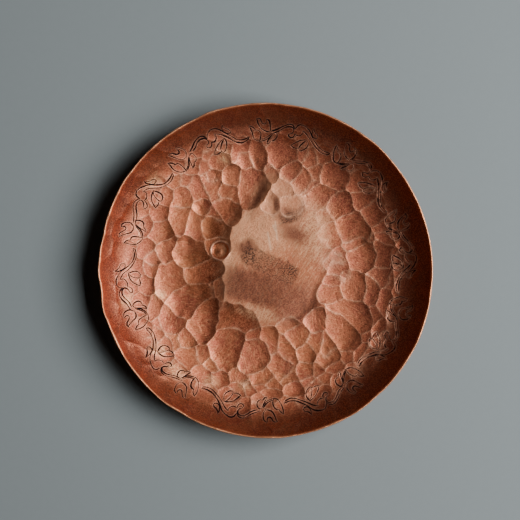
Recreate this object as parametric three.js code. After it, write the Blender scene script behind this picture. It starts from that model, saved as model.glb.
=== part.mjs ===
// A shallow round dish, raised with a hammer from one sheet of copper.
// Its middle is flat, its wall steepens towards the rim, and its edge is the plain
// rounded edge of the sheet. Being made by hand, the rim isn't quite a circle.
// Units are millimetres, +Z is up, and the origin is the middle of the underside.

import * as THREE from 'three';

// Driving dimensions
const RIM_RADIUS = 75; // outside, averaged round the rim
const RIM_HEIGHT = 17.5; // top of the rim, averaged, above the surface it stands on
const BASE_RADIUS = 27; // the flat middle, which the dish stands on
const SHEET = 1.2; // thickness of the copper
const WALL_POWER = 4.5; // how suddenly the wall steepens towards the rim

// How far the rim is from a true circle
const OVAL = { swing: 0.31, lobes: 2, towards: 121 };
const LOBED = { swing: 0.14, lobes: 3, towards: 60 };
const RIM_ROLL = { swing: 0.3, lobes: 2, towards: 35 };
const KINK_WIDTH = 3.5; // degrees
const KINK_LIFT = 0.6; // how far a kink also lifts the edge, against how far it pushes it out
// The last blows along the edge left short bends: [degrees round the rim, millimetres outwards]
const KINKS = [
  [48, 0.2], [82, -0.15], [109, 0.35], [117, -0.2], [148, 0.3], [168, -0.35], [180, 0.35],
  [187, -0.3], [194, 0.4], [232, 0.25], [239, -0.25], [276, 0.15], [302, 0.2], [312, -0.2],
  [336, 0.15], [353, -0.15],
];

// Fineness of the mesh
const TURN_STEPS = 144; // round the dish
const WALL_STEPS = 12; // from the flat middle to the rim
const EDGE_STEPS = 4; // over the rounded edge

const HALF_SHEET = SHEET / 2;
const WALL_RUN = RIM_RADIUS - HALF_SHEET - BASE_RADIUS;
const WALL_RISE = RIM_HEIGHT - SHEET;

// The middle of the sheet's thickness, as [radius, height]; share runs from 0 where the flat
// middle ends to 1 at the rim. offset is measured from it, upwards on the flat middle.
function sheetPoint(share, offset) {
  const radius = BASE_RADIUS + WALL_RUN * share;
  const height = HALF_SHEET + WALL_RISE * share ** WALL_POWER;
  const slope = (WALL_RISE / WALL_RUN) * WALL_POWER * share ** (WALL_POWER - 1);
  const tilt = Math.atan(slope);
  return new THREE.Vector2(radius - offset * Math.sin(tilt), height + offset * Math.cos(tilt));
}

// Half a turn over the edge, from the outside of the sheet to the inside
function edgePoints() {
  const middle = sheetPoint(1, 0);
  const outside = sheetPoint(1, -HALF_SHEET);
  const start = Math.atan2(outside.y - middle.y, outside.x - middle.x);
  const points = [];
  for (let step = 1; step < EDGE_STEPS; step += 1) {
    const angle = start + (Math.PI * step) / EDGE_STEPS;
    points.push(new THREE.Vector2(
      middle.x + HALF_SHEET * Math.cos(angle),
      middle.y + HALF_SHEET * Math.sin(angle),
    ));
  }
  return points;
}

// The section of the dish, from the axis along the underside, over the edge and back to the axis
function sectionPoints() {
  const underside = [];
  const inside = [];
  for (let step = 0; step <= WALL_STEPS; step += 1) {
    underside.push(sheetPoint(step / WALL_STEPS, -HALF_SHEET));
    inside.unshift(sheetPoint(step / WALL_STEPS, HALF_SHEET));
  }
  return [
    new THREE.Vector2(0, 0),
    ...underside,
    ...edgePoints(),
    ...inside,
    new THREE.Vector2(0, SHEET),
  ];
}

function wave(shape, angle) {
  return shape.swing * Math.cos(shape.lobes * (angle - THREE.MathUtils.degToRad(shape.towards)));
}

// How far the kinks push the rim outwards at this angle
function kinks(angle) {
  const degrees = THREE.MathUtils.radToDeg(angle);
  let push = 0;
  for (const [place, outwards] of KINKS) {
    const away = THREE.MathUtils.euclideanModulo(degrees - place + 180, 360) - 180;
    push += outwards * Math.exp(-((away / KINK_WIDTH) ** 2));
  }
  return push;
}

// Moves the wall from the true circle to the hand-made outline: fully at the rim, and not at all
// on the flat middle
function bendByHand(geometry) {
  const position = geometry.getAttribute('position');
  const point = new THREE.Vector3();
  for (let index = 0; index < position.count; index += 1) {
    point.fromBufferAttribute(position, index);
    const radius = Math.hypot(point.x, point.y);
    if (radius <= BASE_RADIUS) continue;
    const angle = Math.atan2(point.y, point.x);
    const share = Math.min((radius - BASE_RADIUS) / WALL_RUN, 1);
    const push = wave(OVAL, angle) + wave(LOBED, angle) + kinks(angle);
    const lift = wave(RIM_ROLL, angle) + KINK_LIFT * kinks(angle);
    const grown = 1 + (push * share ** WALL_POWER) / radius;
    position.setXYZ(
      index,
      point.x * grown,
      point.y * grown,
      point.z + lift * share ** WALL_POWER,
    );
  }
}

function makeDish() {
  const geometry = new THREE.LatheGeometry(sectionPoints(), TURN_STEPS);
  geometry.rotateX(Math.PI / 2);
  bendByHand(geometry);
  geometry.computeVertexNormals();
  const copper = new THREE.MeshStandardMaterial({ color: 0xb87358, roughness: 0.42, metalness: 1 });
  const dish = new THREE.Mesh(geometry, copper);
  dish.name = 'dish';
  return dish;
}

const tray = new THREE.Group();
tray.add(makeDish());

export default tray;
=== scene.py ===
import math

import bmesh
import bpy
import numpy as np
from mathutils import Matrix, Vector


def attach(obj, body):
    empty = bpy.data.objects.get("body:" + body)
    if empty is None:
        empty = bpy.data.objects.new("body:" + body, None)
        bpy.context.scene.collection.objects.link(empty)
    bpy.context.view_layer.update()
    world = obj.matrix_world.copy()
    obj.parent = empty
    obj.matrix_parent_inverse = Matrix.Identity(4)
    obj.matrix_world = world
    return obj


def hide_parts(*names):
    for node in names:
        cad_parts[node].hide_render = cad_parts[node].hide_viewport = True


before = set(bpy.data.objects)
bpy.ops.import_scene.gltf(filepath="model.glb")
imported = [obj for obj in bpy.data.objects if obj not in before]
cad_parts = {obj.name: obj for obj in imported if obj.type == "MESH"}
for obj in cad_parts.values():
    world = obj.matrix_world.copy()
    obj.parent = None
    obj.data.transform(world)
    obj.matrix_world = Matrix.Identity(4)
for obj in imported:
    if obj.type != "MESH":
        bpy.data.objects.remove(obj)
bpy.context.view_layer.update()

# A hammered copper dish. Lengths are in millimetres until the mesh is made.
# Plan positions are seen from above, from the middle of the dish: +x right, +y away.
MM = 0.001

# The sheet, as the CAD model has it
RIM_RADIUS = 75.0
RIM_HEIGHT = 17.5
BASE_RADIUS = 27.0
SHEET = 1.2
WALL_POWER = 4.5
HALF_SHEET = SHEET / 2
MIDDLE_RADIUS = RIM_RADIUS - HALF_SHEET
WALL_RUN = MIDDLE_RADIUS - BASE_RADIUS
WALL_RISE = RIM_HEIGHT - SHEET
EDGE_THINNING = 0.35  # how much thinner the visual's edge is than the sheet
THINNEST = 0.4  # no blow leaves the sheet thinner than this

# Fineness of the mesh: rings from the middle to the rim on the inside, and over the edge
RINGS = 180
EDGE_RINGS = 9
# Triangles are halved once for each of these, where they are this near to an engraved line or
# where they run across a ridge between hammer marks that isn't too far out
GROOVE_REFINE = (0.65, 0.32)
RIDGE_REFINE_RADIUS = 66

# The planished middle, which the hammer marks surround
PATCH_CENTRE = (4.0, 2.5)
# how far it reaches from there: (direction in degrees, reach)
PATCH_OUTLINE = (
    (12, 24), (32, 29), (58, 33), (76, 37), (92, 42), (108, 35.5), (124, 30), (140, 29.5),
    (154, 25.5), (173, 27), (195, 28.5), (213, 30.5), (235, 26), (252, 28), (277, 26), (305, 24),
    (336, 20.5),
)
# It tilts down to the right. On its left it drops to a hollow that the heaviest blows left, and on
# its right it falls away gently: (distance outside the outline, height of the worked ground)
PATCH_TILT = 0.02
RIGHT_DIRECTION = math.radians(-22)
LEFT_FALL = (
    (-3, 1.1), (-1, 1.0), (2.2, 0.0), (7, -0.15), (14, 0.2), (23, 0.7), (32, 0.6), (44, 0.0),
)
RIGHT_FALL = ((-8, 1.1), (0, 0.95), (9, 0.6), (18, 0.5), (29, 1.1), (44, 0.0))

# Hammer marks
HAMMER_RADIUS = 27.0  # how round the hammer's face is
DEEPEST = 0.6
FLATNESS = 1.4  # above 1, the middle of a mark is flatter than a sphere's
SPREAD = 1.14  # how far the marks run into each other
RANDOM_LEAN = 2.5  # degrees
RIDGE_GAP = 0.07  # height over which the worn ridge between two marks fades out
OUTSIDE_HAMMER_RADIUS = 70.0
OUTSIDE_SPACING = 7.4  # between the blows of a course on the outside
OUTSIDE_COURSE = 6.3  # between the courses on the outside
# The heavy blows, placed round the middle: (x, y, half width, half length, direction of the
# length in degrees, lean to the right in degrees)
HEAVY_BLOWS = (
    # on the left
    (-31, 20, 3.6, 6.2, 90, 1), (-22.5, 20, 4.4, 5, 60, -8), (-39, 24, 4.8, 5.5, 100, 1),
    (-48, 26.5, 4, 3.8, 0, -5), (-49.5, 18, 5.2, 5.2, 0, 0), (-54.5, 10.5, 4.6, 4, 0, 0),
    (-51.5, 6, 4.2, 3.8, 0, 0), (-42, 9, 3.6, 4.8, 10, -4), (-31, 7.5, 5.4, 5.8, 10, -4),
    (-29, -0.5, 4.2, 6, 20, -4), (-53.5, 1, 3, 3.2, 0, -1), (-58.5, -0.5, 3.2, 4.4, 90, -6),
    (-55.5, -7, 3.8, 3.6, 0, -5), (-43.5, -5, 6.5, 8.5, 90, 3), (-33.5, -13.5, 5.5, 7, 35, -1),
    (-39.5, -22, 5.5, 6, 30, -1), (-50.5, -18, 3.6, 4, 90, -5), (-46.5, -24.5, 3.4, 3.6, 0, -2),
    (-30.5, -22.5, 5, 6.5, 80, 2), (-43, -32, 3.7, 4.3, 100, -2), (-37, -31, 4.3, 4.3, 0, 3),
    (-48, -34.5, 3.8, 4, 0, 2), (-49.5, -43, 3.6, 3.6, 0, 4), (-23, -10.5, 3, 7, 90, -5),
    (-15.5, -23.5, 4.2, 8, -8, -4), (-26, 28.5, 1.8, 2.4, 0, -6),
    # below
    (-35.5, -40.5, 4.8, 6, 0, 0), (-29, -39, 3.4, 3.8, 0, 0), (-17, -34, 5.5, 8, 75, 2),
    (-22, -44.5, 3.6, 4, 0, -8), (-25, -51.5, 4.4, 5, 0, 5), (-6, -39.5, 5.8, 6.2, 60, 3),
    (1.5, -34, 3.6, 5, 100, 5), (7, -42.5, 4, 5.4, 110, -1), (10.5, -36.5, 3.6, 5, 115, -3),
    (17, -31, 3.8, 4.8, 0, -1), (17.5, -37, 3.4, 3.4, 0, 4), (22.5, -32.5, 3.4, 3.8, 60, 1),
    (4.5, -51, 4, 4.2, 0, -4), (-3, -47, 4, 5, 0, 1), (-14, -48.5, 3.6, 4.6, 0, 3),
    (-11.5, -52, 3.4, 3.8, 0, 3), (-9, -57, 3.6, 3.6, 0, 1), (-2, -54, 3.8, 3.8, 0, -1),
    (11, -46.5, 3.8, 5, 100, -5), (18, -51, 3.6, 3.6, 0, 6), (23.5, -47, 3.8, 4.4, 110, 0),
    (10.5, -56, 3.6, 3.6, 0, 5), (21.5, -54, 3.4, 3.8, 0, 1),
    # above
    (-8.5, 39.5, 5.4, 6.6, 70, -1), (7.5, 39, 5.6, 6, 0, 4), (12.5, 30, 4.8, 5.2, 0, 2),
    (5, 31, 3.8, 4.2, 90, -5), (1, 45, 3.2, 3.8, 0, -3), (-20.5, 49.5, 3.8, 4, 0, -2),
    (-22, 42, 3.4, 3.4, 0, -3), (-14.5, 42, 3.8, 4, 0, -2), (-28, 46, 3.4, 4.6, 100, 0),
    (-16.5, 35.5, 3.6, 4.6, 0, 0), (-19, 29.5, 4, 5, 90, 1), (-26, 37.5, 3.8, 6, 120, 1),
    (-31.5, 35.5, 4, 6.4, 120, -2), (-37.5, 32.5, 4.8, 5.2, 90, 0), (-12, 54, 3.4, 4.6, 90, 8),
    (-7.5, 50, 3.8, 3.8, 0, 0), (-2.5, 52, 2.8, 4.4, 90, -5), (7, 54, 5.6, 6, 0, 2),
    (11.5, 46.5, 3.2, 3.6, 90, 0), (16, 42, 3.8, 4.6, 110, -1), (15, 53.5, 3.2, 3.4, 0, 3),
    (24, 52.5, 3.6, 3.8, 0, 0), (22.5, 45.5, 3, 4.4, 90, 0), (30.5, 43, 5.4, 5.6, 0, 1),
    # on the right
    (41, 41, 4.6, 4.6, 0, 3), (25.5, 33.5, 5, 5.6, 0, 1), (34, 29, 5, 5.6, 90, -3),
    (47.5, 35, 3, 3.4, 0, 1), (48.5, 27, 4.8, 5, 0, 4), (53, 21, 3.8, 4.4, 0, 1),
    (41, 19, 6, 6.2, 0, -4), (55, 16, 3.8, 4.4, 0, 1), (53.5, 6, 5.4, 6, 90, 1),
    (43, 6, 5, 5.6, 0, 0), (51, -2.5, 4.4, 6, -40, 2), (40, -7.5, 5, 6, 90, -2),
    (47.5, -9, 3.8, 5.2, 90, -2), (48.5, -22, 5, 5.4, 90, 0), (37, -19, 4.8, 8, -35, 1),
    (29.5, -10.5, 3.2, 4.4, 0, 0), (34, 3, 2.8, 5, 80, -6), (57.5, -15, 3.8, 5, 90, 0),
    (59, -6.5, 3, 3.8, 90, -1), (38, 12.5, 3.6, 4, 0, 4), (30, 16.5, 4.4, 4.4, 0, 1),
    (33, -26.5, 5, 7.6, -55, 3), (38, -38.5, 4.4, 6.4, -70, -2), (45, -30, 3.6, 4.2, 0, 0),
    (24, -24, 3.2, 4, 70, -1), (29.5, -34, 2.4, 4, 90, -5), (27.5, -39, 4.2, 4.4, 0, 0),
    (32.5, -45, 4.4, 4.4, 0, -3), (45.5, -39.5, 3.4, 3.8, 0, 1),
)
# Lighter courses fill what is left, out to the rim: (distance from the middle, blows, half size
# round the dish, half size towards the rim)
COURSES = (
    (30.5, 24, 3.2, 3.8), (36.5, 28, 3.2, 3.8), (42.5, 33, 3.2, 3.8), (48.5, 38, 3.2, 3.8),
    (54.5, 43, 3.4, 4.0), (60.0, 42, 4.8, 4.2), (64.6, 44, 4.9, 3.4), (68.6, 46, 5.0, 3.0),
    (72.6, 48, 5.0, 2.8),
)
# Small nicks from the hammer's edge
NICKS = 150
# The mark of a ring punch, beside the planished middle
PUNCH_MARK = (-21, 9)
PUNCH_RADIUS = 4.3

# The finish of the planished middle, with painted shade and a painted reflection among it, as soft
# patches: (x, y, half length, half width, direction of the length in degrees, softness of the edge)
PALE_PATCHES = ((-3, 16, 13, 10, 30, 0.7), (5, 32, 9, 12, 0, 0.7), (-17, 2, 3.5, 12, 0, 0.7))
BURNISHED_PATCHES = ((-3, -8.5, 17, 7.5, -14, 0.3), (14, -14, 10, 8, 20, 0.6))
# A painted reflection: the dark rectangle across the middle stands for something dark mirrored
# there; and painted shade at the lower edge of the mark above the middle
PAINTED_REFLECTION_AND_SHADE_PATCHES = ((1.9, 2.2, 13.4, 4.7, -25, 0.1), (11, 24.3, 5.2, 2.4, 18, 0.35))
# Their darkest parts: painted reflection at both ends of the rectangle, and painted shade at that
# mark's edge
DARKEST_PAINTED_REFLECTION_AND_SHADE = (
    (-7.6, 7.4, 3.4, 3.8, 0, 0.8), (11.4, -0.2, 3.8, 3, -20, 0.8), (11, 23.6, 3.4, 1.6, 20, 0.8),
)
# Painted shade along the edges of marks round the top of the middle, and a few dark spots
PAINTED_SHADE_AND_SPOT_PATCHES = (
    (13.2, 16.4, 6.2, 3.6, -24, 0.85), (9.4, 25.4, 5, 3.2, -30, 0.8), (-9, 10.6, 4, 3, 30, 0.6),
    (-3.4, 33.8, 8, 1.6, 65, 0.8), (5.2, 29, 5, 1.3, -75, 0.7), (16.6, 28, 4.5, 1.2, 65, 0.7),
)
FROSTED_PATCHES = (
    (21, 17.5, 7, 11, 0, 0.8), (-4, -19.5, 7, 2.6, -20, 0.7), (-8, 25.5, 8, 1.5, 50, 0.8),
)
# Fine scratches across it, from end to end: (x, y, x, y)
SCRATCHES = ((0.8, 17.2, 2.2, 9.4), (4.2, 22.2, 5.1, 14), (3.2, 20.5, 4.4, 17.8))
SCRATCH_WIDTH = 0.34
# Darker copper above, on both sides and round the middle's right edge: duller copper, and
# painted shade where the light falls off above
DULL_AND_PAINTED_SHADE_PATCHES = (
    (10, 45, 46, 18, -15, 0.9), (50, -6, 16, 36, 0, 0.9), (-62, -5, 14, 55, 0, 0.9),
    (15, 21, 7, 5, 0, 0.9), (15, -18.5, 11, 7.5, 0, 0.9), (28, 3, 7, 9, 0, 0.9),
)
# Painted glints: a few marks on the wall are coloured brighter, as if they caught the light
PAINTED_GLINTS = (
    (-51.5, 40.8, 3.4, 2.2, 40, 0.9), (-64, -14.2, 2.6, 1.8, 60, 0.9),
    (-49.5, -36.5, 3, 2.2, -30, 0.9), (-41.5, -46, 3.4, 2.4, -40, 0.9), (-25, -51, 3, 2, -20, 0.9),
    (-49, -11, 2.2, 1.7, 0, 0.9), (-10, -53, 2.6, 2, 0, 0.9), (-19, 52, 2.4, 3, 0, 0.9),
)

# The engraved vine: ten sprays round the wall. Each stroke is a smooth line through its points,
# as (along the band, towards the rim) from the foot of the spray's flower.
SPRAYS = 10
FIRST_SPRAY = math.radians(21)
FLOWER_FOOT_RADIUS = 58.5
VINE_RADIUS = 62.2
VINE_BAND = (54.5, 71.5)  # every line lies between these radii
GROOVE_HALF_WIDTH = 0.32
GROOVE_DEPTH = 0.15
STROKES = (
    # the flower's right petal, then its curl
    ((0, 0), (2.2, 0.9), (3.4, 2.9), (3.9, 5.0), (4.1, 7.3)),
    ((4.1, 7.3), (2.9, 6.5), (2.3, 5.7), (2.1, 5.0)),
    ((2.2, 5.1), (1.1, 5.1), (0.1, 4.3), (-0.4, 2.6), (-0.2, 0.9), (0, 0)),
    # the flower's open petal, with its notch
    ((-4.2, 4.8), (-2.6, 4.9), (-1.0, 5.7), (0.2, 7.7), (0.8, 9.3), (1.3, 9.9)),
    ((1.3, 9.9), (0.2, 10.1), (-0.6, 9.6), (-1.4, 8.3), (-2.5, 7.9), (-3.1, 8.7), (-2.9, 10.0)),
    ((-2.9, 10.0), (-3.9, 9.8), (-4.7, 8.6), (-5.0, 6.5), (-4.2, 4.8)),
    # the sepals under it
    ((-5.6, 4.1), (-6.9, 4.5), (-7.8, 3.5), (-7.9, 2.1), (-6.9, 0.8), (-5.4, 0.6)),
    ((-5.4, 0.6), (-4.4, -0.5), (-3.3, -0.8)),
    ((-3.3, -0.8), (-3.9, 0.6), (-4.7, 2.2), (-5.6, 4.1)),
    ((-5.6, 3.9), (-3.9, 1.8), (-2.2, 0.7), (0, 0.1)),
    ((-5.2, 4.2), (-3.6, 2.4), (-2.0, 1.3), (-0.2, 0.8)),
    # the rising stem, two lines
    ((5.1, 2.8), (7.7, 2.1), (10.6, 2.5), (13.0, 4.0), (15.0, 5.7), (17.0, 8.0), (19.0, 9.2),
     (21.0, 9.7), (22.6, 9.0), (23.5, 7.2)),
    ((5.1, 2.8), (5.8, 1.7), (8.5, 0.9), (11.0, 1.5), (13.8, 3.1), (15.8, 4.7), (17.8, 6.4),
     (19.8, 7.5)),
    # its tendrils
    ((19.8, 7.5), (19.7, 6.5), (20.2, 5.5), (21.4, 4.8), (22.9, 5.1)),
    ((22.9, 5.1), (23.5, 3.6), (24.7, 3.1), (25.8, 3.8), (25.4, 4.7)),
    # the falling stem, two lines
    ((25.4, 4.7), (24.3, 5.2), (23.7, 6.5), (24.6, 7.7), (26.2, 7.9), (28.0, 7.2), (30.2, 5.6),
     (32.2, 4.8)),
    ((23.5, 7.2), (24.7, 8.6), (26.4, 8.9), (28.4, 8.0), (31.2, 6.2), (33.8, 5.2)),
    # the bud leaf, hanging towards the middle of the dish
    ((16.9, 4.3), (16.1, 2.3), (16.5, 0.4), (17.8, -1.0), (19.3, -1.4)),
    ((19.3, -1.4), (19.7, -0.4), (19.3, 1.0), (18.4, 2.5), (17.3, 3.8)),
    ((19.8, -0.6), (21.8, -1.0), (23.7, -0.5)),
    ((16.9, 4.3), (19.8, 3.2), (21.8, 1.7), (23.7, -0.5)),
    # the small leaf on the outside of the stem
    ((12.9, 6.7), (13.4, 7.5), (14.5, 8.0), (15.4, 8.8), (15.8, 9.8)),
    ((15.8, 9.8), (16.1, 8.4), (15.6, 6.8), (14.5, 5.9), (13.2, 6.0), (12.9, 6.7)),
)


def smoothstep(low, high, value):
    """Rises smoothly from 0 at low to 1 at high; falls where high is below low."""
    share = np.clip((value - low) / (high - low), 0, 1)
    return share * share * (3 - 2 * share)


def cells(x, y, size):
    """Groups points by square cell: yields each cell's centre and the indices of its points."""
    column, row = np.floor(x / size).astype(int), np.floor(y / size).astype(int)
    key = column * 1000 + row
    order = np.argsort(key, kind="stable")
    starts = np.flatnonzero(np.diff(key[order])) + 1
    for group in np.split(order, starts):
        first = group[0]
        yield ((column[first] + 0.5) * size, (row[first] + 0.5) * size), group


# ---- The engraved vine -------------------------------------------------------------------------


def smooth_line(points, step=0.35):
    """A smooth line through the points (Catmull-Rom), as an array of points about step apart."""
    p = np.array(points, float)
    p = np.vstack([2 * p[0] - p[1], p, 2 * p[-1] - p[-2]])
    line = []
    for a, b, c, d in zip(p[:-3], p[1:-2], p[2:-1], p[3:]):
        count = max(2, int(np.linalg.norm(c - b) / step))
        t = np.arange(count)[:, None] / count
        line.append(0.5 * (2 * b + (c - a) * t + (2 * a - 5 * b + 4 * c - d) * t**2
                           + (3 * b - a - 3 * c + d) * t**3))
    line.append(p[-2][None])
    return np.vstack(line)


def vine_segments():
    """Every short straight piece of the vine in plan: starts, ends and half widths."""
    rng = np.random.default_rng(11)
    starts, ends, widths = [], [], []
    for spray in range(SPRAYS):
        foot = FIRST_SPRAY + spray * 2 * math.pi / SPRAYS + rng.normal(0, 0.006)
        stretch, lift = rng.normal(1, 0.02), rng.normal(0, 0.25)
        sway, phase = rng.uniform(0.1, 0.3), rng.uniform(0, 6.28)
        for stroke in STROKES:
            line = smooth_line(stroke)
            along, out = line[:, 0] * stretch, line[:, 1] + lift
            along = along + sway * np.sin(out * 0.9 + phase)
            out = out + sway * np.sin(along * 0.45 + phase) + rng.normal(0, 0.07)
            radius = FLOWER_FOOT_RADIUS + out
            angle = foot + along / VINE_RADIUS
            plan = np.column_stack([radius * np.cos(angle), radius * np.sin(angle)])
            run = np.r_[0, np.cumsum(np.linalg.norm(np.diff(plan, axis=0), axis=1))]
            middle = (run[1:] + run[:-1]) / 2
            nearest_end = np.minimum(middle, run[-1] - middle)
            width = GROOVE_HALF_WIDTH * rng.uniform(0.7, 1.15)
            starts.append(plan[:-1])
            ends.append(plan[1:])
            pressure = 0.85 + 0.25 * np.sin(middle * rng.uniform(0.5, 1.0) + rng.uniform(0, 6.28))
            widths.append(width * pressure * (0.45 + 0.55 * smoothstep(0, 1.4, nearest_end)))
    return np.vstack(starts), np.vstack(ends), np.concatenate(widths)


VINE = vine_segments()


def vine_distance(x, y, reach):
    """Distance from each plan point to the nearest vine line, and that line's half width."""
    starts, ends, widths = VINE
    distance = np.full(len(x), reach * 2.0)
    width = np.full(len(x), GROOVE_HALF_WIDTH)
    radius = np.hypot(x, y)
    band = np.flatnonzero((radius > VINE_BAND[0]) & (radius < VINE_BAND[1]))
    size = 3.0
    middles = (starts + ends) / 2
    for centre, group in cells(x[band], y[band], size):
        near = np.abs(middles - centre).max(axis=1) < size / 2 + reach + 0.4
        if not near.any():
            continue
        group = band[group]
        a, b, w = starts[near], ends[near], widths[near]
        run = b - a
        p = np.column_stack([x[group], y[group]])
        along = ((p[:, None] - a) * run).sum(2) / (run**2).sum(1)
        foot = a + np.clip(along, 0, 1)[..., None] * run
        away = np.linalg.norm(p[:, None] - foot, axis=2)
        best = np.argmin(away / w, axis=1)
        rows = np.arange(len(group))
        distance[group] = away[rows, best]
        width[group] = w[best]
    return distance, width


# ---- The hammer marks --------------------------------------------------------------------------


def blow(x, y, half_width, half_length, direction, lean, hammer, tone, strength=1.0, base=0.0):
    """One row of an array of blows: the lean becomes a slope, and the hammer's radius a depth."""
    depth = DEEPEST * math.tanh(half_width**2 / (2 * hammer) / DEEPEST)
    slope = math.tan(math.radians(lean))
    return (x, y, half_width, half_length, direction, slope * strength, depth * strength, tone, base)


def inside_blow(x, y, half_width, half_length, direction, lean, hammer, tone):
    """A blow on the inside, with its place on the worked ground.

    The blows are strongest close to the planished middle on its left and on the far left, weaker
    close to the middle on its right, and weakest towards the rim."""
    place = np.array([x]), np.array([y])
    patch, leftness = (value[0] for value in from_patch(*place))
    strength = 0.64 + 0.12 * leftness * smoothstep(22, 8, patch)
    strength -= 0.25 * (1 - leftness) * smoothstep(12, 2, patch)
    strength += 0.2 * smoothstep(-44, -52, x)
    strength -= 0.3 * smoothstep(60, 68, math.hypot(x, y))
    return blow(x, y, half_width, half_length, direction, lean, hammer, tone, strength,
                ground(*place)[0])


def inside_blows():
    """The blows on the inside: x, y, half width, half length, direction, lean, depth, tone, base."""
    rng = np.random.default_rng(5)
    blows = []
    for x, y, half_width, half_length, degrees, lean in HEAVY_BLOWS:
        hammer = HAMMER_RADIUS / rng.uniform(0.9, 1.25)
        # the tone follows the lean: marks leaning right, towards the lamp, get darker and those
        # leaning away paler, which is painted shade and painted light
        tone = 0.5 - 0.05 * lean + rng.normal(0, 0.15)
        lean = lean + rng.normal(0, RANDOM_LEAN)
        blows.append(inside_blow(x, y, SPREAD * half_width, SPREAD * half_length,
                                 math.radians(degrees), lean, hammer, tone))
    heavy = np.array(blows)
    for distance, count, half_width, half_length in COURSES:
        start = rng.uniform(0, 6.28)
        for step in range(count):
            angle = start + (step + rng.uniform(-0.3, 0.3)) * 2 * math.pi / count
            out = distance + rng.normal(0, 1.2)
            x, y = out * math.cos(angle), out * math.sin(angle)
            size = rng.uniform(0.8, 1.25)
            lean, turn = rng.normal(0, 3), rng.normal(0, 0.4)
            hammer = HAMMER_RADIUS * rng.uniform(0.9, 1.3)
            tone = rng.random()
            # none inside a heavy blow, and none on the planished middle
            if within(x, y, heavy).min() < 1.1:
                continue
            if from_patch(np.array([x]), np.array([y]))[0][0] < 3:
                continue
            blows.append(inside_blow(x, y, size * half_width, size * half_length, angle + turn, lean,
                                     hammer, tone))
    return np.array(blows)


def ground(x, y):
    """Height of the worked ground, before the blows: the planished middle and what is round it."""
    patch, leftness = from_patch(x, y)
    height = leftness * smooth_fall(patch, LEFT_FALL)
    height += (1 - leftness) * smooth_fall(patch, RIGHT_FALL)
    height -= PATCH_TILT * (x - PATCH_CENTRE[0]) * smoothstep(14, 0, patch)
    return height * smoothstep(75, 62, np.hypot(x, y))


def from_patch(x, y):
    """How far each point is outside the planished middle, and how far it is to its left (0 to 1)."""
    dx, dy = x - PATCH_CENTRE[0], y - PATCH_CENTRE[1]
    reach = np.hypot(dx, dy)
    direction = np.arctan2(dy, dx)
    degrees, outline = np.array(PATCH_OUTLINE, float).T
    edge = np.interp(direction, np.radians(degrees), outline, period=2 * math.pi)
    edge = edge + 0.5 * np.sin(9 * direction) * np.sin(4 * direction + 1)
    leftness = smoothstep(-0.05, 0.55, -np.cos(direction - RIGHT_DIRECTION))
    return reach - edge, leftness


def smooth_fall(distance, points):
    """A smooth curve through (distance, height) points, level beyond both ends."""
    distances, heights = np.array(points, float).T
    slopes = np.gradient(heights, distances)
    slopes[[0, -1]] = 0
    place = np.clip(distance, distances[0], distances[-1])
    which = np.clip(np.searchsorted(distances, place) - 1, 0, len(points) - 2)
    span = (distances[1:] - distances[:-1])[which]
    t = (place - distances[which]) / span
    return ((2 * t**3 - 3 * t**2 + 1) * heights[which] + (t**3 - 2 * t**2 + t) * span * slopes[which]
            + (3 * t**2 - 2 * t**3) * heights[which + 1] + (t**3 - t**2) * span * slopes[which + 1])


def within(x, y, blows):
    """How far the point is from each blow's centre, where 1 is the blow's own edge."""
    dx, dy = x - blows[:, 0], y - blows[:, 1]
    along = dx * np.cos(blows[:, 4]) + dy * np.sin(blows[:, 4])
    across = dy * np.cos(blows[:, 4]) - dx * np.sin(blows[:, 4])
    return np.hypot(across / blows[:, 2], along / blows[:, 3])


def outside_blows():
    """The flatter planishing marks on the outside, in the same form as those on the inside."""
    rng = np.random.default_rng(8)
    blows = []
    distance = 0.0
    while distance < RIM_RADIUS + 3:
        count = max(1, int(2 * math.pi * distance / OUTSIDE_SPACING))
        start = rng.uniform(0, 6.28)
        for step in range(count):
            angle = start + (step + rng.uniform(-0.3, 0.3)) * 2 * math.pi / count
            out = distance + rng.normal(0, 0.9)
            size = rng.uniform(3.2, 4.6)
            blows.append(blow(out * math.cos(angle), out * math.sin(angle), size, size * 1.15,
                              angle + rng.normal(0, 0.6), rng.normal(0, 0.8),
                              OUTSIDE_HAMMER_RADIUS, rng.random()))
        distance += OUTSIDE_COURSE
    return np.array(blows)


def struck(x, y, blows, ceiling, softness):
    """The surface that the blows leave, below the unstruck surface (ceiling).

    Each blow presses a rounded hammer face into the sheet, so the surface is the lowest of many
    shallow bowls, which meet in crisp ridges. Returns the height, how near the point is to a
    ridge (0 to 1) and the tone of the blow that it lies in."""
    height, ridge, tone = ceiling.copy(), np.zeros(len(x)), np.full(len(x), 0.5)
    size, reach = 12.0, 14.0  # of a cell, and of a blow beyond it
    for centre, group in cells(x, y, size):
        near = np.abs(blows[:, :2] - centre).max(axis=1) < size / 2 + reach
        if not near.any():
            continue
        bx, by, half_width, half_length, direction, lean, depth, shade, base = blows[near].T
        dx, dy = x[group][:, None] - bx, y[group][:, None] - by
        along = dx * np.cos(direction) + dy * np.sin(direction)
        across = dy * np.cos(direction) - dx * np.sin(direction)
        bowls = ((across / half_width) ** 2 + (along / half_length) ** 2) ** FLATNESS
        bowls = np.column_stack([base + depth * (bowls - 1) - lean * dx, ceiling[group]])
        soft = softness[group]
        lowest = bowls.min(axis=1)
        weight = np.exp((lowest[:, None] - bowls) / soft[:, None])
        height[group] = lowest - soft * np.log(weight.sum(axis=1))
        two = np.partition(bowls, 1, axis=1)
        ridge[group] = np.exp(-(two[:, 1] - two[:, 0]) / RIDGE_GAP)
        which = np.argmin(bowls, axis=1)
        tone[group] = np.append(shade, 0.5)[which]
    return height, ridge, tone


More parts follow.
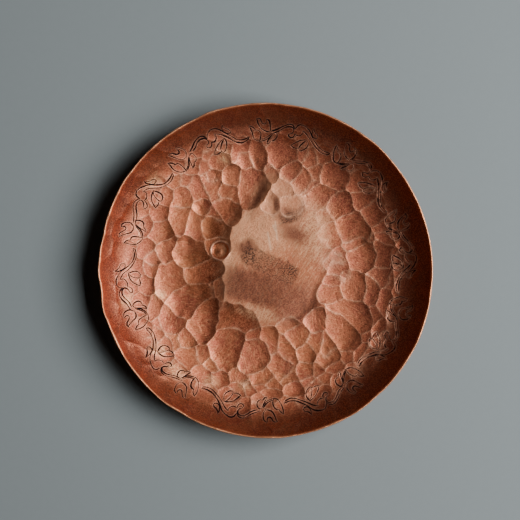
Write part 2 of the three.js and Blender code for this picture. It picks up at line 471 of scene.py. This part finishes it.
def bumps(x, y, seed, wavelength, count=24):
    """Gentle random unevenness between about -1 and 1."""
    rng = np.random.default_rng(seed)
    total = np.zeros(len(x))
    for _ in range(count):
        direction = rng.uniform(0, 6.28)
        turns = 2 * math.pi / (wavelength * rng.uniform(0.7, 1.6))
        phase = rng.uniform(0, 6.28)
        total += np.sin(turns * (x * math.cos(direction) + y * math.sin(direction)) + phase)
    return total * math.sqrt(2 / count) / 2


INSIDE_BLOWS = inside_blows()
OUTSIDE_BLOWS = outside_blows()


def patches(x, y, shapes):
    """How far inside any of the soft patches each point is, from 0 to 1. Their edges waver."""
    inside = np.zeros(len(x))
    x, y = x + 0.5 * bumps(x, y, 51, 3.0), y + 0.5 * bumps(x, y, 52, 3.0)
    for centre_x, centre_y, half_length, half_width, degrees, soft in shapes:
        turn = math.radians(degrees)
        along = (x - centre_x) * math.cos(turn) + (y - centre_y) * math.sin(turn)
        across = (y - centre_y) * math.cos(turn) - (x - centre_x) * math.sin(turn)
        power = 2 + 4 * (1 - soft)  # an ellipse when soft, nearly a rectangle when crisp
        reach = (np.abs(along / half_length) ** power + np.abs(across / half_width) ** power)
        inside = np.maximum(inside, smoothstep(1 + soft, 1 - soft, reach ** (1 / power)))
    return inside


def nicks(x, y):
    """Depth of the small crescent nicks that the hammer's edge left."""
    rng = np.random.default_rng(17)
    depth = np.zeros(len(x))
    for _ in range(NICKS):
        distance, angle, turn = rng.uniform(30, 58), rng.uniform(0, 6.28), rng.uniform(0, 6.28)
        length, deep = rng.uniform(0.6, 1.5), rng.uniform(0.04, 0.1)
        dx, dy = x - distance * math.cos(angle), y - distance * math.sin(angle)
        near = np.flatnonzero(np.hypot(dx, dy) < 5)
        along = dx[near] * math.cos(turn) + dy[near] * math.sin(turn)
        across = dy[near] * math.cos(turn) - dx[near] * math.sin(turn) + 0.25 * along**2
        depth[near] += deep * np.exp(-((along / length) ** 2) - (across / 0.32) ** 2)
    return depth


def scratches(x, y):
    """Nearness to the fine scratches across the planished middle, from 0 to 1."""
    nearness = np.zeros(len(x))
    for start_x, start_y, end_x, end_y in SCRATCHES:
        run_x, run_y = end_x - start_x, end_y - start_y
        along = ((x - start_x) * run_x + (y - start_y) * run_y) / (run_x**2 + run_y**2)
        along = np.clip(along, 0, 1)
        away = np.hypot(x - start_x - along * run_x, y - start_y - along * run_y)
        nearness = np.maximum(nearness, np.exp(-((away / SCRATCH_WIDTH) ** 2)))
    return nearness


def punch_mark(x, y):
    """The mark of a ring punch: its sunk floor, its crumpled middle and its thin raised lip."""
    dx, dy = x - PUNCH_MARK[0], y - PUNCH_MARK[1]
    out = np.hypot(dx, dy) / PUNCH_RADIUS
    sunk = smoothstep(0.95, 0.7, out)
    crumple = np.exp(-((np.hypot(dx + 0.2, 1.5 * (dy + 0.6)) / 1.3) ** 2))
    lip = np.exp(-(((out - 1.0) / 0.09) ** 2))
    return sunk, crumple, lip


def inside_marks(x, y):
    """The blows on the inside: the surface they leave, the surface that they struck, the nearness
    to a ridge and the tone. The tone is the same only within one mark."""
    radius = np.hypot(x, y)
    ceiling = ground(x, y) + 0.02 * bumps(x, y, 3, 7.0)
    # round the planished middle the blows overlap so much that nothing unstruck is left
    ceiling += 0.5 * smoothstep(-1, 6, from_patch(x, y)[0]) * smoothstep(78, 66, radius)
    softness = 0.008 + 0.02 * smoothstep(60, 68, radius)
    warped_x, warped_y = x + 0.45 * bumps(x, y, 31, 6.0), y + 0.45 * bumps(x, y, 32, 6.0)
    height, ridge, tone = struck(warped_x, warped_y, INSIDE_BLOWS, ceiling, softness)
    return height, ceiling, ridge, tone


def inside_surface(x, y):
    """Height of the inside above the sheet's smooth surface, with its look, at plan points."""
    radius = np.hypot(x, y)
    patch = from_patch(x, y)[0]
    height, ceiling, ridge, tone = inside_marks(x, y)
    ridge *= 1 - smoothstep(60, 67, radius)
    struck_share = smoothstep(-0.01, -0.05, height - ceiling)
    planished = smoothstep(3, -1, patch) * (1 - 0.35 * struck_share)
    height += 0.10 * bumps(x, y, 21, 26.0)
    height += 0.08 * smoothstep(56, 62, radius) * bumps(x, y, 22, 9.0)
    height -= nicks(x, y)
    rough = 1 - 0.6 * smoothstep(58, 66, radius) - 0.4 * planished
    height += rough * (0.018 * bumps(x, y, 41, 2.6, 40) + 0.01 * bumps(x, y, 42, 1.1, 60))

    sunk, crumple, lip = punch_mark(x, y)
    height -= 0.62 * sunk
    height += 0.35 * crumple * (1 + 0.5 * bumps(x, y, 61, 1.3))
    height += 0.16 * lip

    # each engraved line, with a low burr on both sides of it
    distance, width = vine_distance(x, y, 1.0)
    groove = np.clip(1 - distance / width, 0, 1)
    height -= GROOVE_DEPTH * groove
    height += 0.03 * np.exp(-(((distance - 1.5 * width) / 0.16) ** 2))

    # patina darkens the punch mark's floor, and painted shade darkens the deep marks on the left,
    # away from the light
    left = smoothstep(0.1, 0.6, -np.cos(np.arctan2(y, x) - math.radians(12)))
    recess = left * smoothstep(0.05, 0.3, ceiling - height) * smoothstep(13, 3, patch)
    # painted shade at the edges of marks round the middle, and dark spots on it
    painted_shade_and_spots = patches(x, y, PAINTED_SHADE_AND_SPOT_PATCHES)
    # a painted highlight along the vine's burrs and on the punch mark's lip
    burr_and_lip_painted_highlight = np.exp(-(((distance - 1.6 * width) / 0.2) ** 2))
    look = {
        "ridge": ridge,
        "tone": tone,
        "groove": groove,
        "burr_and_lip_painted_highlight": np.maximum(burr_and_lip_painted_highlight, 2 * lip),
        "patina_and_painted_shade": np.maximum(recess, sunk - crumple),
        # the wall under the vine, and the band above it, with painted light on the band's near
        # and far sides
        "wall": smoothstep(50, 56, radius) * smoothstep(69, 65, radius),
        "band": smoothstep(62, 70, radius) * (1 - 0.5 * (y / np.maximum(radius, 1)) ** 2),
        # painted shade on the rim's right side, away from the light, where the vine's burrs
        # get a painted highlight
        "right_rim_painted_shade": smoothstep(64, 73, radius) * smoothstep(-30, 50, x),
        # a painted highlight on the vine's burrs and lines on the right
        "right_side_painted_highlight": smoothstep(25, 50, x),
        "planished": planished,
        "pale": patches(x, y, PALE_PATCHES) * planished,
        "burnished": patches(x, y, BURNISHED_PATCHES),
        "painted_shade_and_spots": painted_shade_and_spots,
        # painted reflection across the middle, and painted shade at a mark's edge
        "painted_reflection_and_shade": patches(x, y, PAINTED_REFLECTION_AND_SHADE_PATCHES) * 0.76 + patches(x, y, DARKEST_PAINTED_REFLECTION_AND_SHADE) * 0.24,
        "frost": patches(x, y, FROSTED_PATCHES) * (1 - painted_shade_and_spots),
        "scratch": scratches(x, y),
        # duller copper, and painted shade above
        "dull_and_painted_shade": patches(x, y, DULL_AND_PAINTED_SHADE_PATCHES),
        # painted glints on a few marks of the wall
        "painted_glint": patches(x, y, PAINTED_GLINTS),
    }
    return height, look


def outside_surface(x, y):
    """The same for the outside, where a positive height is into the sheet.

    The blows of the inside show through softly on the wall, and the base is a little hollow."""
    radius = np.hypot(x, y)
    even = np.ones(len(x))
    soft, _, _ = struck(x, y, INSIDE_BLOWS, 0.3 * even, 0.06 * even)
    marks, ridge, tone = struck(x, y, OUTSIDE_BLOWS, 0.3 * even, 0.012 * even)
    wall = smoothstep(46, 56, radius) * smoothstep(73, 66, radius)
    height = np.clip(-marks, 0, None) * 0.8 + wall * 0.5 * (soft + 0.12)
    height += 0.5 * (1 - smoothstep(12, 29, radius))
    return height, {"ridge": ridge, "tone": tone}


# ---- The mesh ----------------------------------------------------------------------------------


def ring_radii(count):
    """Radii of rings spaced evenly along the sheet, from its middle to its rim."""
    fine = np.linspace(0, MIDDLE_RADIUS, 4000)
    share = np.clip((fine - BASE_RADIUS) / WALL_RUN, 0, 1)
    slope = WALL_RISE / WALL_RUN * WALL_POWER * share ** (WALL_POWER - 1)
    length = np.cumsum(np.hypot(1, slope))
    return np.interp(np.linspace(length[0], length[-1], count + 1), length, fine)


def disc(rings, corners, side, first):
    """A round net of triangles: ring k has corners * k points, and the first is number first.

    Returns the points, the triangles and the number of the first point on the rim."""
    radii = ring_radii(rings)
    points = [np.array([[0.0, 0.0, side]])]
    faces = []
    inner_start, inner_count = first, 1
    for ring in range(1, rings + 1):
        count = corners * ring
        angle = np.arange(count) * 2 * math.pi / count
        points.append(np.column_stack([radii[ring] * np.cos(angle), radii[ring] * np.sin(angle),
                                       np.full(count, side)]))
        start = inner_start + inner_count
        sector, place = np.divmod(np.arange(count), ring)
        inner = inner_start + (sector * (ring - 1) + place) % inner_count
        outer = start + np.arange(count)
        following = start + (np.arange(count) + 1) % count
        faces.append(np.column_stack([inner, outer, following]))
        if ring > 1:
            fill = place < ring - 1
            after = inner_start + (sector * (ring - 1) + place + 1) % inner_count
            faces.append(np.column_stack([inner, following, after])[fill])
        inner_start, inner_count = start, count
    return np.vstack(points), np.vstack(faces), inner_start


def flat_net():
    """The whole surface before it is bent: inside (side 1), edge and outside (side -1)."""
    inside, inside_faces, inside_rim = disc(RINGS, 6, 1.0, 0)
    count = 6 * RINGS
    points, faces = [inside], [inside_faces]
    previous, total = inside_rim, len(inside)
    for step in range(1, EDGE_RINGS):
        ring = inside[inside_rim:].copy()
        ring[:, 2] = math.cos(math.pi * step / EDGE_RINGS)
        points.append(ring)
        faces.append(band(previous, total, count))
        previous, total = total, total + count
    outside, outside_faces, outside_rim = disc(RINGS // 2, 12, -1.0, total)
    points.append(outside)
    faces.append(outside_faces[:, ::-1])
    faces.append(band(previous, outside_rim, count))
    return np.vstack(points), np.vstack(faces)


def band(first, second, count):
    """Triangles between two rings with the same number of points."""
    here = np.arange(count)
    after = (here + 1) % count
    return np.vstack([
        np.column_stack([first + here, second + here, second + after]),
        np.column_stack([first + here, second + after, first + after]),
    ])


def near_vine(ends, reach):
    """Which edges, given by their ends in plan, lie near the engraved lines."""
    middle = (ends[:, 0] + ends[:, 1]) / 2
    return vine_distance(middle[:, 0], middle[:, 1], 1.0)[0] < reach


def across_ridge(ends):
    """Which edges run from one hammer mark into another, on the floor and the lower wall."""
    tones = [inside_marks(*ends[:, end, :2].T)[3] for end in (0, 1)]
    return (tones[0] != tones[1]) & (np.hypot(*ends[:, 0, :2].T) < RIDGE_REFINE_RADIUS)


def refined_net():
    """The net with smaller triangles along the engraved lines and the ridges."""
    points, faces = flat_net()
    net = bmesh.new()
    made = [net.verts.new(p) for p in points]
    for face in faces:
        net.faces.new([made[i] for i in face])
    for reach in GROOVE_REFINE:
        net.edges.ensure_lookup_table()
        ends = np.array([(e.verts[0].co, e.verts[1].co) for e in net.edges])
        inside = np.flatnonzero(ends[:, :, 2].sum(1) > 1.99)
        chosen = near_vine(ends[inside], reach) | across_ridge(ends[inside])
        edges = [net.edges[i] for i in inside[chosen]]
        bmesh.ops.subdivide_edges(net, edges=edges, cuts=1, use_grid_fill=True)
        bmesh.ops.triangulate(net, faces=[f for f in net.faces if len(f.verts) > 3])
    net.verts.index_update()
    points = np.array([v.co for v in net.verts])
    faces = np.array([[v.index for v in f.verts] for f in net.faces])
    net.free()
    return points, faces


def rim_outline():
    """How far the CAD rim is from its mean circle: angles, outwards and upwards."""
    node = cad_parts["dish"].data
    p = np.array([v.co for v in node.vertices]) / MM
    p = p[np.hypot(p[:, 0], p[:, 1]) > RIM_RADIUS - 1.6]
    degrees = np.round(np.degrees(np.arctan2(p[:, 1], p[:, 0])) * 2) / 2 % 360
    angles = np.unique(degrees)
    radius = np.hypot(p[:, 0], p[:, 1])
    out = np.array([radius[degrees == a].max() for a in angles]) - RIM_RADIUS
    up = np.array([p[degrees == a, 2].max() for a in angles]) - RIM_HEIGHT
    return np.radians(angles), out, up


def bend(points):
    """Places the flat net's points in space, in millimetres, with their look."""
    x, y, side = points.T
    radius, angle = np.hypot(x, y), np.arctan2(y, x)
    share = np.clip((radius - BASE_RADIUS) / WALL_RUN, 0, 1)
    tilt = np.arctan(WALL_RISE / WALL_RUN * WALL_POWER * share ** (WALL_POWER - 1))
    height = HALF_SHEET + WALL_RISE * share**WALL_POWER
    rim_angles, rim_out, rim_up = rim_outline()
    out = np.interp(angle, rim_angles, rim_out, period=2 * math.pi) * share**WALL_POWER
    up = np.interp(angle, rim_angles, rim_up, period=2 * math.pi) * share**WALL_POWER

    inside, inside_look = inside_surface(x, y)
    outside, outside_look = outside_surface(x, y)
    thinner = EDGE_THINNING * smoothstep(0.9, 1, share)
    lower = outside - HALF_SHEET
    upper = np.maximum(inside + HALF_SHEET - thinner, lower + THINNEST)
    offset = (upper + lower) / 2 + (upper - lower) / 2 * side
    bulge = (upper - lower) / 2 * np.sqrt(np.clip(1 - side**2, 0, 1))
    radial = radius + out - offset * np.sin(tilt) + bulge * np.cos(tilt)
    place = np.column_stack([radial * np.cos(angle), radial * np.sin(angle),
                             height + up + offset * np.cos(tilt) + bulge * np.sin(tilt)])
    look = {key: np.where(side > 0, value, outside_look.get(key, 0))
            for key, value in inside_look.items()}
    # a painted highlight along the rim's edge
    look["rim"] = np.exp(-((MIDDLE_RADIUS - radius) / 0.25) ** 2)
    return place, look


def make_dish():
    points, faces = refined_net()
    place, look = bend(points)
    mesh = bpy.data.meshes.new("hammered_dish")
    mesh.from_pydata((place * MM).tolist(), [], faces.tolist())
    mesh.polygons.foreach_set("use_smooth", np.ones(len(faces), bool))
    for name, value in look.items():
        layer = mesh.attributes.new(name, "FLOAT", "POINT")
        layer.data.foreach_set("value", value.astype(np.float32))
    mesh.update()
    dish = bpy.data.objects.new("hammered_dish", mesh)
    bpy.context.scene.collection.objects.link(dish)
    return dish


# ---- Materials ---------------------------------------------------------------------------------

BURNISHED_ROUGHNESS = 0.315
FINE_RELIEF = 0.13  # depth of the finest grain and streaks, which are too small for the mesh


def linear(red, green, blue):
    """A colour from its usual 0 to 255 values."""
    def one(value):
        value /= 255
        return value / 12.92 if value <= 0.04045 else ((value + 0.055) / 1.055) ** 2.4
    return one(red), one(green), one(blue), 1.0


class Nodes:
    """Short calls for building a material's nodes."""

    def __init__(self, name):
        self.material = bpy.data.materials.new(name)
        self.material.use_nodes = True
        self.tree = self.material.node_tree
        self.tree.nodes.clear()

    def set(self, socket, value):
        if isinstance(value, bpy.types.NodeSocket):
            self.tree.links.new(value, socket)
        else:
            socket.default_value = value

    def add(self, kind, settings=None, **inputs):
        node = self.tree.nodes.new(kind)
        for key, value in (settings or {}).items():
            setattr(node, key, value)
        for key, value in inputs.items():
            self.set(node.inputs[key.replace("_", " ")], value)
        return node

    def attribute(self, name):
        """One of the values that the mesh carries at each point."""
        return self.add("ShaderNodeAttribute", {"attribute_name": name}).outputs["Fac"]

    def math(self, operation, *values):
        node = self.add("ShaderNodeMath", {"operation": operation})
        for socket, value in zip(node.inputs, values):
            self.set(socket, value)
        return node.outputs[0]

    def share(self, name, amount):
        """One of the mesh's values, multiplied by the amount."""
        return self.math("MULTIPLY", self.attribute(name), amount)

    def between(self, value, low, high, to_low=0.0, to_high=1.0):
        """Turns low to high smoothly into to_low to to_high."""
        node = self.add("ShaderNodeMapRange", {"interpolation_type": "SMOOTHSTEP"})
        for key, number in (("Value", value), ("From Min", low), ("From Max", high),
                            ("To Min", to_low), ("To Max", to_high)):
            self.set(node.inputs[key], number)
        return node.outputs["Result"]

    def mix(self, factor, first, second):
        node = self.add("ShaderNodeMix", {"data_type": "RGBA"})
        self.set(node.inputs["Factor"], factor)
        self.set(node.inputs[6], first)
        self.set(node.inputs[7], second)
        return node.outputs[2]

    def noise(self, where, wavelength_mm, detail=2.0, roughness=0.5):
        node = self.add("ShaderNodeTexNoise", None, Vector=where, Scale=1 / (wavelength_mm * MM),
                        Detail=detail, Roughness=roughness)
        return node.outputs["Fac"]

    def drawn_out(self, where, angle, squeeze):
        """Places turned and then squeezed, which draws a noise out into streaks."""
        turned = self.add("ShaderNodeVectorRotate", {"rotation_type": "Z_AXIS"}, Vector=where,
                          Angle=angle).outputs["Vector"]
        node = self.add("ShaderNodeVectorMath", {"operation": "MULTIPLY"})
        self.set(node.inputs[0], turned)
        self.set(node.inputs[1], (1.0, squeeze, 1.0))
        return node.outputs["Vector"]

    def finish(self, **inputs):
        """The material, with these inputs of its one shader."""
        shader = self.add("ShaderNodeBsdfPrincipled", None, **inputs)
        output = self.add("ShaderNodeOutputMaterial")
        self.tree.links.new(shader.outputs["BSDF"], output.inputs["Surface"])
        return self.material


def copper():
    n = Nodes("hammered_copper")
    where = n.add("ShaderNodeTexCoord").outputs["Object"]
    tone = n.attribute("tone")

    cloud = n.noise(where, 14.0, 3.0)
    blotch = n.noise(where, 3.6, 4.0, 0.7)
    mottle = n.noise(where, 2.6, 3.0, 0.6)
    grain = n.noise(where, 0.9, 4.0, 0.75)
    fine = n.noise(where, 0.55, 2.0, 0.7)
    # the hammer's face leaves fine streaks, which run another way in each mark
    streaks = n.noise(n.drawn_out(where, n.math("MULTIPLY", tone, 40.0), 0.2), 0.65, 4.0, 0.8)
    # the planished middle was rubbed one way
    hairlines = n.noise(n.drawn_out(where, math.radians(35), 0.16), 0.55, 3.0, 0.8)

    grainy = n.share("planished", n.math("SUBTRACT", 1.0, n.share("burnished", 0.7)))
    glitter = n.between(n.math("ADD", fine, hairlines), 0.88, 1.08, 0.15, 0.75)
    # on the right, a painted highlight: the vine's burrs painted brighter, its dark lines paler
    right_side_painted_highlight = n.share("right_side_painted_highlight", n.between(mottle, 0.44, 0.56))
    bright = n.math("ADD", n.math("MULTIPLY", right_side_painted_highlight, 0.4), 0.35)
    dirty = n.math("SUBTRACT", 1.0, n.math("MULTIPLY", right_side_painted_highlight, 0.7))

    # the layers of colour, from the lowest to the highest: (how much of it covers, colour)
    layers = (
        # the hammer marks, darker or paler one by one, with the copper's mottle and grain; the heavy
        # blows' tones also paint shade on marks that face the lamp and light on those that face away
        (n.between(tone, 0.4, 0.0, 0.0, 0.5), (154, 82, 64)),
        (n.between(tone, 0.6, 1.0, 0.0, 0.4), (218, 142, 90)),
        (n.between(mottle, 0.42, 0.66, 0.0, 0.4), (146, 70, 42)),
        (n.between(grain, 0.5, 0.64, 0.0, 0.55), (130, 62, 42)),
        (n.between(streaks, 0.48, 0.66, 0.0, 0.55), (228, 164, 118)),
        # the wall, darker towards the rim, with painted light on the band's near and far sides
        # and painted shade on the rim's right side
        (n.share("wall", 0.5), (154, 82, 60)),
        (n.share("band", 0.65), (114, 74, 64)),
        (n.share("right_rim_painted_shade", 0.6), (92, 42, 30)),
        # the planished middle; round it, duller copper with painted shade above, painted glints,
        # and patina with painted shade in the hollows
        (n.share("planished", 0.45), (208, 134, 94)),
        (n.share("planished", n.between(blotch, 0.48, 0.64, 0.0, 0.5)), (164, 104, 76)),
        (n.share("dull_and_painted_shade", 0.58), (146, 78, 64)),
        (n.share("painted_glint", n.between(streaks, 0.4, 0.6, 0.15, 0.9)), (255, 198, 146)),
        (n.share("patina_and_painted_shade", 0.7), (120, 52, 28)),
        # the finish of the planished middle, with fine specks, hairlines, scratches and dark spots,
        # painted shade at the edges of marks, a painted reflection, and frost
        (n.share("pale", 0.85), (255, 186, 140)),
        (n.share("burnished", 0.9), (136, 82, 66)),
        (n.between(fine, 0.45, 0.56, 0.0, 0.45), (226, 140, 100)),
        (n.math("MULTIPLY", grainy, n.between(hairlines, 0.5, 0.62, 0.0, 0.4)), (255, 200, 154)),
        (n.math("MULTIPLY", grainy, n.between(fine, 0.5, 0.6, 0.0, 0.35)), (150, 92, 68)),
        (n.share("scratch", 0.65), (255, 214, 176)),
        (n.share("painted_shade_and_spots", n.between(fine, 0.42, 0.58, 0.98, 0.72)), (122, 74, 56)),
        (n.share("painted_reflection_and_shade", n.between(fine, 0.44, 0.56, 1.0, 0.26)), (76, 54, 46)),
        (n.share("frost", glitter), (240, 186, 142)),
        # the ridges between marks, rubbed bright and with a painted highlight; the burrs and the
        # rim with a painted highlight; and the engraved lines
        (n.share("ridge", n.between(mottle, 0.4, 0.6, 0.25, 0.65)), (238, 180, 144)),
        (n.share("burr_and_lip_painted_highlight", bright), (228, 176, 146)),
        (n.share("rim", 0.95), (252, 174, 128)),
        (n.math("MULTIPLY", n.between(n.attribute("groove"), 0.02, 0.3), dirty), (30, 20, 21)),
    )
    colour = n.mix(n.between(cloud, 0.38, 0.62), linear(178, 91, 71), linear(202, 117, 80))
    for cover, tint in layers:
        colour = n.mix(cover, colour, linear(*tint))

    rough = n.between(grain, 0.35, 0.65, 0.36, 0.52)
    rough = n.math("ADD", rough, n.share("groove", 0.3))
    evened = n.math("SUBTRACT", BURNISHED_ROUGHNESS, rough)
    rough = n.math("ADD", rough, n.math("MULTIPLY", n.share("burnished", 0.85), evened))
    for name, change in (("painted_reflection_and_shade", 0.12), ("frost", 0.12), ("planished", 0.06), ("wall", 0.09),
                         ("band", -0.05)):
        rough = n.math("ADD", rough, n.share(name, change))

    relief = n.math("ADD", n.math("MULTIPLY", grain, 1.4), streaks)
    strength = n.math("SUBTRACT", 0.5, n.share("burnished", 0.35))
    bump = n.add("ShaderNodeBump", None, Strength=strength, Distance=FINE_RELIEF * MM, Height=relief)
    return n.finish(Base_Color=colour, Metallic=0.9, Roughness=rough, Normal=bump.outputs["Normal"])


def paper():
    n = Nodes("pale_paper")
    where = n.add("ShaderNodeTexCoord").outputs["Object"]
    colour = n.mix(n.noise(where, 3.0, 3.0), linear(143, 152, 154), linear(146, 155, 157))
    return n.finish(Base_Color=colour, Roughness=0.9)


# ---- Stage, light and camera ---------------------------------------------------------------------

# In metres, but for the camera's place, which is in millimetres
FLOOR_HALF = 3.0
LIGHT_AZIMUTH = math.radians(5)
LIGHT_ELEVATION = math.radians(48)
LIGHT_DISTANCE = 0.9
LIGHT_SIZE = 0.62
LIGHT_WATTS = 11.3
ROOM_COLOUR = (1.0, 0.98, 0.95, 1.0)
ROOM_STRENGTH = 0.005
CAMERA_PLACE = (-2.75, 4.66, 662.8)
LENS, SENSOR = 100.0, 36.0
NEAREST, FARTHEST = 0.01, 50.0


def make_floor():
    mesh = bpy.data.meshes.new("floor")
    corners = [(-FLOOR_HALF, -FLOOR_HALF, 0), (FLOOR_HALF, -FLOOR_HALF, 0),
               (FLOOR_HALF, FLOOR_HALF, 0), (-FLOOR_HALF, FLOOR_HALF, 0)]
    mesh.from_pydata(corners, [], [(0, 1, 2, 3)])
    mesh.materials.append(paper())
    floor = bpy.data.objects.new("floor", mesh)
    bpy.context.scene.collection.objects.link(floor)


def make_light():
    lamp = bpy.data.lights.new("softbox", "AREA")
    lamp.shape = "RECTANGLE"
    lamp.size, lamp.size_y = LIGHT_SIZE, LIGHT_SIZE
    lamp.energy = LIGHT_WATTS
    softbox = bpy.data.objects.new("softbox", lamp)
    level = math.cos(LIGHT_ELEVATION)
    towards = Vector((math.cos(LIGHT_AZIMUTH) * level, math.sin(LIGHT_AZIMUTH) * level,
                      math.sin(LIGHT_ELEVATION)))
    softbox.location = towards * LIGHT_DISTANCE
    softbox.rotation_euler = towards.to_track_quat("Z", "Y").to_euler()
    bpy.context.scene.collection.objects.link(softbox)

    world = bpy.data.worlds.new("room")
    world.use_nodes = True
    background = world.node_tree.nodes["Background"]
    background.inputs["Color"].default_value = ROOM_COLOUR
    background.inputs["Strength"].default_value = ROOM_STRENGTH
    bpy.context.scene.world = world


def make_camera():
    lens = bpy.data.cameras.new("camera")
    lens.lens, lens.sensor_width = LENS, SENSOR
    lens.clip_start, lens.clip_end = NEAREST, FARTHEST
    camera = bpy.data.objects.new("camera", lens)
    camera.location = Vector(CAMERA_PLACE) * MM
    bpy.context.scene.collection.objects.link(camera)
    bpy.context.scene.camera = camera


make_camera()
make_light()
make_floor()
dish = make_dish()
dish.data.materials.append(copper())
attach(dish, "root")
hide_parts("dish")
